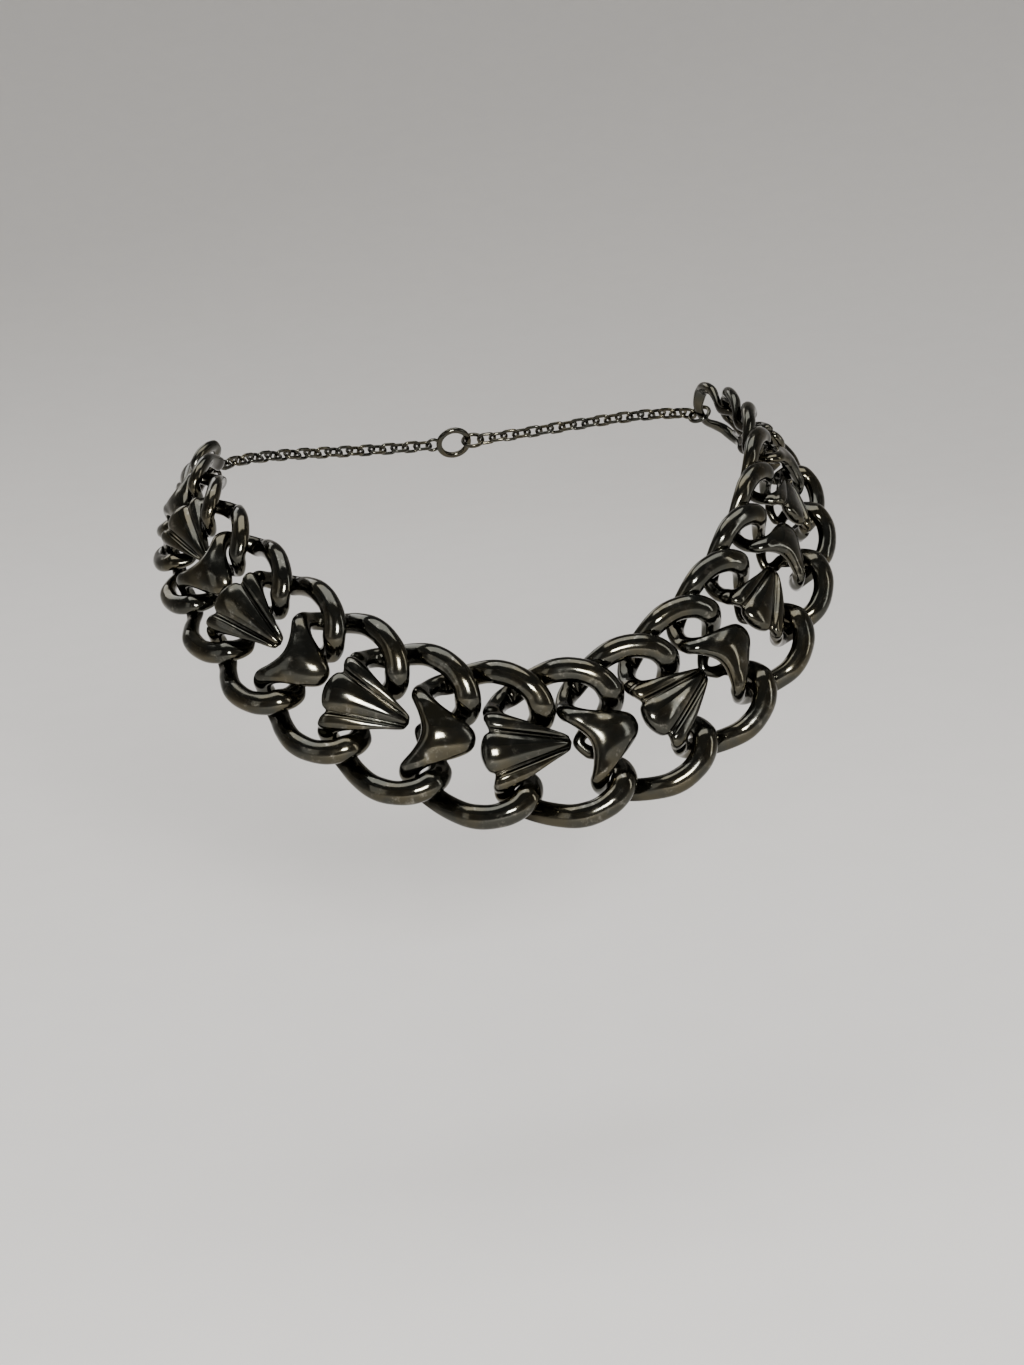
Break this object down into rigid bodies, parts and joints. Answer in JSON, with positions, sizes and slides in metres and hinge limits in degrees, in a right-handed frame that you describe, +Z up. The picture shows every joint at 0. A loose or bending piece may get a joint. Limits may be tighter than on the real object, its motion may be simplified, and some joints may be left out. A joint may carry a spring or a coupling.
{
  "type": "graduated curb-style collar necklace",
  "caption": "Heavy collar necklace of graduated interlocking folded ring links in blackened metal, closed behind the neck by a fine cable chain and a round clasp.",
  "frame": {"origin": "middle of the neck loop, at the height of the middle of the front link", "axes": "+Z up along the neck, -Y the front of the collar with its largest link, +X the right-hand side seen from the front"},
  "size_m": [0.186, 0.1468, 0.0936],
  "materials": {
    "collar_metal": "blackened and polished, with lighter worn high spots",
    "fine_metal": "blackened and polished"
  },
  "bodies": {
    "root": {"link_front": "collar_metal", "link_right_1": "collar_metal", "link_right_2": "collar_metal", "link_right_3": "collar_metal", "link_right_4": "collar_metal", "link_right_5": "collar_metal", "link_right_6": "collar_metal", "link_right_7": "collar_metal", "link_right_8": "collar_metal", "link_right_9": "collar_metal", "link_left_1": "collar_metal", "link_left_2": "collar_metal", "link_left_3": "collar_metal", "link_left_4": "collar_metal", "link_left_5": "collar_metal", "link_left_6": "collar_metal", "link_left_7": "collar_metal", "link_left_8": "collar_metal", "link_left_9": "collar_metal", "jump_ring_right": "fine_metal", "jump_ring_left": "fine_metal", "cable_right": "fine_metal", "cable_left": "fine_metal", "end_ring": "fine_metal", "clasp": "fine_metal"}
  },
  "joints": []
}
